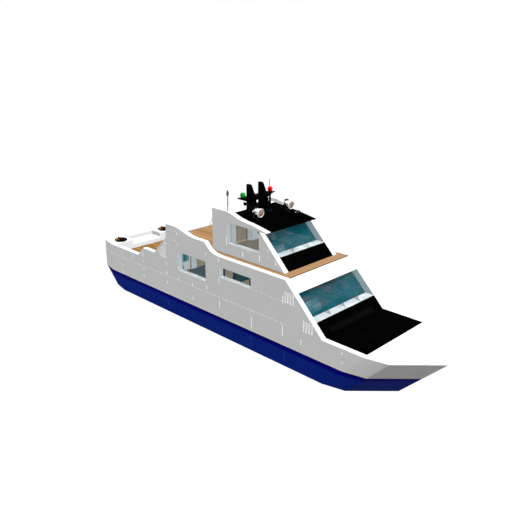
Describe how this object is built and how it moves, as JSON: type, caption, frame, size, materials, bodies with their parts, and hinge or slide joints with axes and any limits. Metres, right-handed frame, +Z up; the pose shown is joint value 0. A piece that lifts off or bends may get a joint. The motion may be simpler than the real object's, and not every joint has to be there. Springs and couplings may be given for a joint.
{
  "type": "two-deck motor houseboat",
  "caption": "Flat-bottomed raked hull with a walled main deck, a cockpit aft, and an upper cabin with black roof, mast and lights",
  "frame": {"origin": "on the flat bottom, at the middle of the length and beam", "axes": "+X to the bow, +Y to port, +Z up"},
  "size_m": [22.73, 5, 7.82],
  "materials": {
    "white_paint": "white gloss paint",
    "navy_paint": "navy bottom paint, satin",
    "black_paint": "black satin paint",
    "teak": "laid teak planks, oiled",
    "tinted_glass": "teal tinted glass",
    "pale_panel": "pale blue-white moulded panel",
    "brown_panel": "grey-brown veneer, matt",
    "red_fabric": "dark red woven cover",
    "black_plastic": "black moulded plastic",
    "stainless_steel": "brushed stainless steel",
    "chrome": "polished chrome",
    "bronze": "cast propeller bronze",
    "green_lens": "green lamp globe",
    "red_lens": "red lamp globe",
    "engine_grey": "grey engine enamel"
  },
  "bodies": {
    "hull": {"aft_window_port": "tinted_glass", "aft_window_starboard": "tinted_glass", "antenna": "stainless_steel", "cabin_bulkhead": "white_paint", "cabin_locker": "pale_panel", "cabin_wall_port": "white_paint", "cabin_wall_starboard": "white_paint", "cockpit_sole": "teak", "engine_port": "engine_grey", "engine_starboard": "engine_grey", "foredeck_panel": "black_paint", "galley": "pale_panel", "horn": "black_paint", "hull_topsides": "white_paint", "hull_underbody": "navy_paint", "ladder": "stainless_steel", "low_window_port": "tinted_glass", "low_window_starboard": "tinted_glass", "lower_helm_console": "pale_panel", "lower_sill": "pale_panel", "lower_windshield": "tinted_glass", "mast": "black_paint", "partition": "brown_panel", "roof_after": "white_paint", "roof_panel": "black_paint", "saloon_bulkhead": "white_paint", "settee": "red_fabric", "side_wall_port": "white_paint", "side_wall_starboard": "white_paint", "sidelight_green": "green_lens", "sidelight_red": "red_lens", "stern_bench": "white_paint", "stern_lamp_port": "black_paint", "stern_lamp_starboard": "black_paint", "upper_deck": "white_paint", "upper_deck_teak": "teak", "upper_front_panel": "black_paint", "upper_helm_console": "pale_panel", "upper_sill": "pale_panel", "upper_window_port": "tinted_glass", "upper_window_starboard": "tinted_glass", "upper_windshield": "tinted_glass"},
    "propeller_starboard": {"propeller_starboard": "bronze"},
    "propeller_port": {"propeller_port": "bronze"},
    "rudder_starboard": {"rudder_starboard": "stainless_steel"},
    "rudder_port": {"rudder_port": "stainless_steel"},
    "lower_wheel": {"lower_helm_wheel": "black_plastic"},
    "upper_wheel": {"upper_helm_wheel": "black_plastic"},
    "saloon_door": {"saloon_door": "pale_panel"},
    "cabin_door": {"cabin_door": "pale_panel"},
    "engine_hatch": {"engine_hatch": "teak"},
    "searchlight_starboard": {"searchlight_starboard": "chrome"},
    "searchlight_port": {"searchlight_port": "chrome"}
  },
  "joints": [
    {"name": "propeller_starboard_spin", "type": "hinge", "parent": "hull", "child": "propeller_starboard", "pos_m": [-10.975, -1.15, 0.3], "axis": [1, 0, 0], "continuous": true},
    {"name": "propeller_port_spin", "type": "hinge", "parent": "hull", "child": "propeller_port", "pos_m": [-10.975, 1.15, 0.3], "axis": [1, 0, 0], "continuous": true},
    {"name": "lower_helm_turn", "type": "hinge", "parent": "hull", "child": "lower_wheel", "pos_m": [4.305, -1.1, 2.8203], "axis": [1, 0, 0], "range_deg": [-540, 540]},
    {"name": "rudder_starboard_turn", "type": "hinge", "parent": "hull", "child": "rudder_starboard", "pos_m": [-11.195, -1.15, 0.86], "axis": [0, 0, 1], "range_deg": [-35, 35]},
    {"name": "rudder_port_turn", "type": "hinge", "parent": "hull", "child": "rudder_port", "pos_m": [-11.195, 1.15, 0.86], "axis": [0, 0, 1], "range_deg": [-35, 35]},
    {"name": "upper_helm_turn", "type": "hinge", "parent": "hull", "child": "upper_wheel", "pos_m": [1.825, -0.8, 4.8453], "axis": [1, 0, 0], "range_deg": [-540, 540]},
    {"name": "saloon_door_swing", "type": "hinge", "parent": "hull", "child": "saloon_door", "pos_m": [-4.705, -0.856, 2.2163], "axis": [0, 0, 1], "range_deg": [-110, 0]},
    {"name": "cabin_door_swing", "type": "hinge", "parent": "hull", "child": "cabin_door", "pos_m": [-1.405, 0.394, 4.4113], "axis": [0, 0, 1], "range_deg": [-110, 0]},
    {"name": "engine_hatch_lift", "type": "hinge", "parent": "hull", "child": "engine_hatch", "pos_m": [-7.815, 0, 2.21], "axis": [0, 1, 0], "range_deg": [0, 85]},
    {"name": "searchlight_starboard_pan", "type": "hinge", "parent": "hull", "child": "searchlight_starboard", "pos_m": [1.005, -1.11, 6.2838], "axis": [0, 0, 1], "range_deg": [-170, 170]},
    {"name": "searchlight_port_pan", "type": "hinge", "parent": "hull", "child": "searchlight_port", "pos_m": [1.005, 1.11, 6.2838], "axis": [0, 0, 1], "range_deg": [-170, 170]}
  ],
  "couplings": [
    {"joint": "rudder_starboard_turn", "follows": "lower_helm_turn", "ratio": 0.0648},
    {"joint": "rudder_port_turn", "follows": "lower_helm_turn", "ratio": 0.0648}
  ]
}
